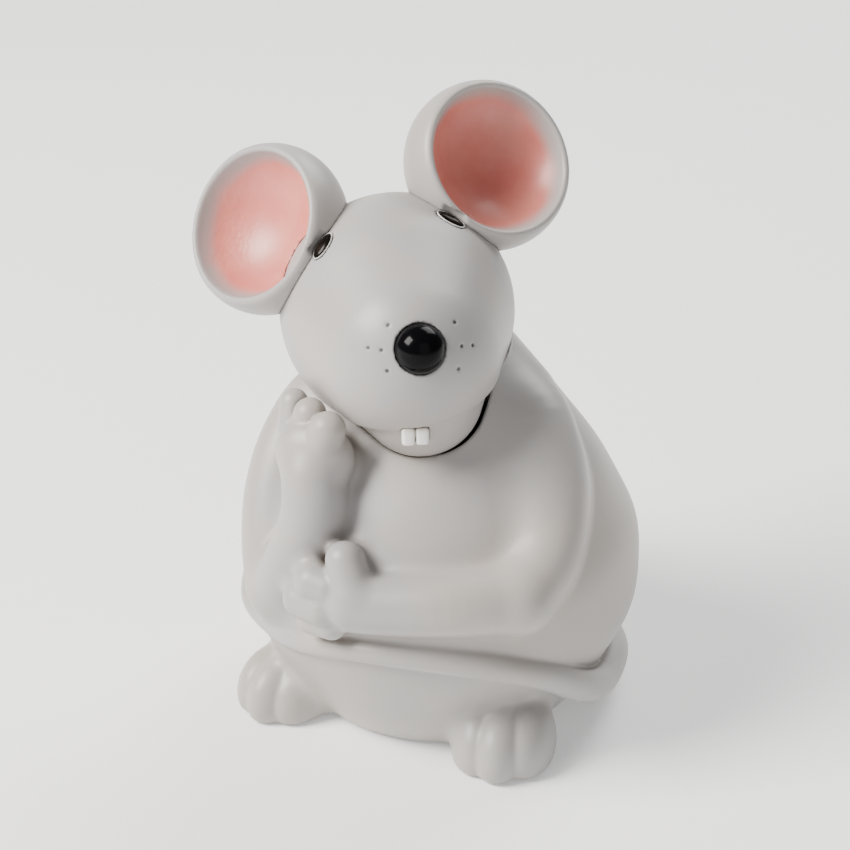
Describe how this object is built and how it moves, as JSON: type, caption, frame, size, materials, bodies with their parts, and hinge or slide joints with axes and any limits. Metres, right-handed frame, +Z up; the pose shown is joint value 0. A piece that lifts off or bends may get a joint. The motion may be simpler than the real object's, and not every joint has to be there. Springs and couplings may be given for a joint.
{
  "type": "clockwork mouse",
  "caption": "Seated toy mouse with round ears, chin on fist and curled tail; its head turns, and a key in the back winds a comb-and-cylinder movement inside.",
  "frame": {"origin": "on the table plane under the middle of the body, at the centre of the base plate", "axes": "+Z up; the mouse looks towards -Y with its body, and its own left is +X"},
  "size_m": [0.1286, 0.1401, 0.1809],
  "materials": {
    "paint": "satin paint, very fine orange peel",
    "ear": "satin paint, pink sprayed into the middle",
    "eye": "polished",
    "nose": "gloss lacquer",
    "teeth": "gloss enamel",
    "felt": "pressed felt",
    "steel": "brushed",
    "brass": "satin",
    "zinc": "as cast",
    "base": "moulded",
    "base_felt": "pressed felt",
    "fan": "moulded"
  },
  "bodies": {
    "body": {"body_shell": "paint", "neck_felt": "felt", "base_plate": "base", "base_screws": "steel", "base_felt": "base_felt", "movement_bracket": "steel", "bracket_screws": "steel", "bedplate": "steel", "bedplate_screws": "steel", "click_spring": "steel", "click_screw": "steel", "cylinder_bridge": "brass", "cylinder_post": "brass", "bearing_screws": "steel", "comb": "steel", "comb_block": "zinc", "comb_screws": "steel", "governor_bracket": "brass", "governor_cock": "brass", "governor_screws": "steel", "cock_screws": "steel"},
    "head": {"head_shell": "paint", "ear_left": "ear", "ear_right": "ear", "eye_left": "eye", "eye_right": "eye", "nose": "nose", "teeth": "teeth", "neck_washer": "steel", "neck_screw": "steel"},
    "winder": {"winding_key": "brass", "winding_arbor": "steel", "ratchet_wheel": "steel", "ratchet_pin": "steel"},
    "barrel": {"spring_barrel": "brass", "barrel_lid": "brass", "mainspring": "steel"},
    "cylinder": {"cylinder": "brass", "cylinder_arbor": "steel", "cylinder_pinion": "brass", "cylinder_wheel": "brass"},
    "staff": {"staff": "steel", "worm_wheel": "brass"},
    "worm": {"worm": "brass", "fan": "fan"}
  },
  "joints": [
    {"name": "head_turn", "type": "hinge", "parent": "body", "child": "head", "pos_m": [-0.0106, -0.006, 0.121], "axis": [0, 0, 1], "range_deg": [0, 3]},
    {"name": "key_wind", "type": "hinge", "parent": "body", "child": "winder", "pos_m": [-0.013, 0.05, 0.04], "axis": [0, 1, 0], "continuous": true},
    {"name": "barrel_turn", "type": "hinge", "parent": "body", "child": "barrel", "pos_m": [-0.013, 0.015, 0.04], "axis": [0, -1, 0], "continuous": true},
    {"name": "cylinder_turn", "type": "hinge", "parent": "body", "child": "cylinder", "pos_m": [0.009, 0.00668, 0.04], "axis": [1, 0, 0], "continuous": true},
    {"name": "staff_turn", "type": "hinge", "parent": "body", "child": "staff", "pos_m": [0.022, 0.00668, 0.028], "axis": [-1, 0, 0], "continuous": true},
    {"name": "fan_turn", "type": "hinge", "parent": "body", "child": "worm", "pos_m": [0.0225, 0.00668, 0.0182], "axis": [0, 1, 0], "continuous": true}
  ],
  "couplings": [
    {"joint": "cylinder_turn", "follows": "barrel_turn", "ratio": 3},
    {"joint": "staff_turn", "follows": "barrel_turn", "ratio": 12},
    {"joint": "fan_turn", "follows": "barrel_turn", "ratio": 144}
  ]
}
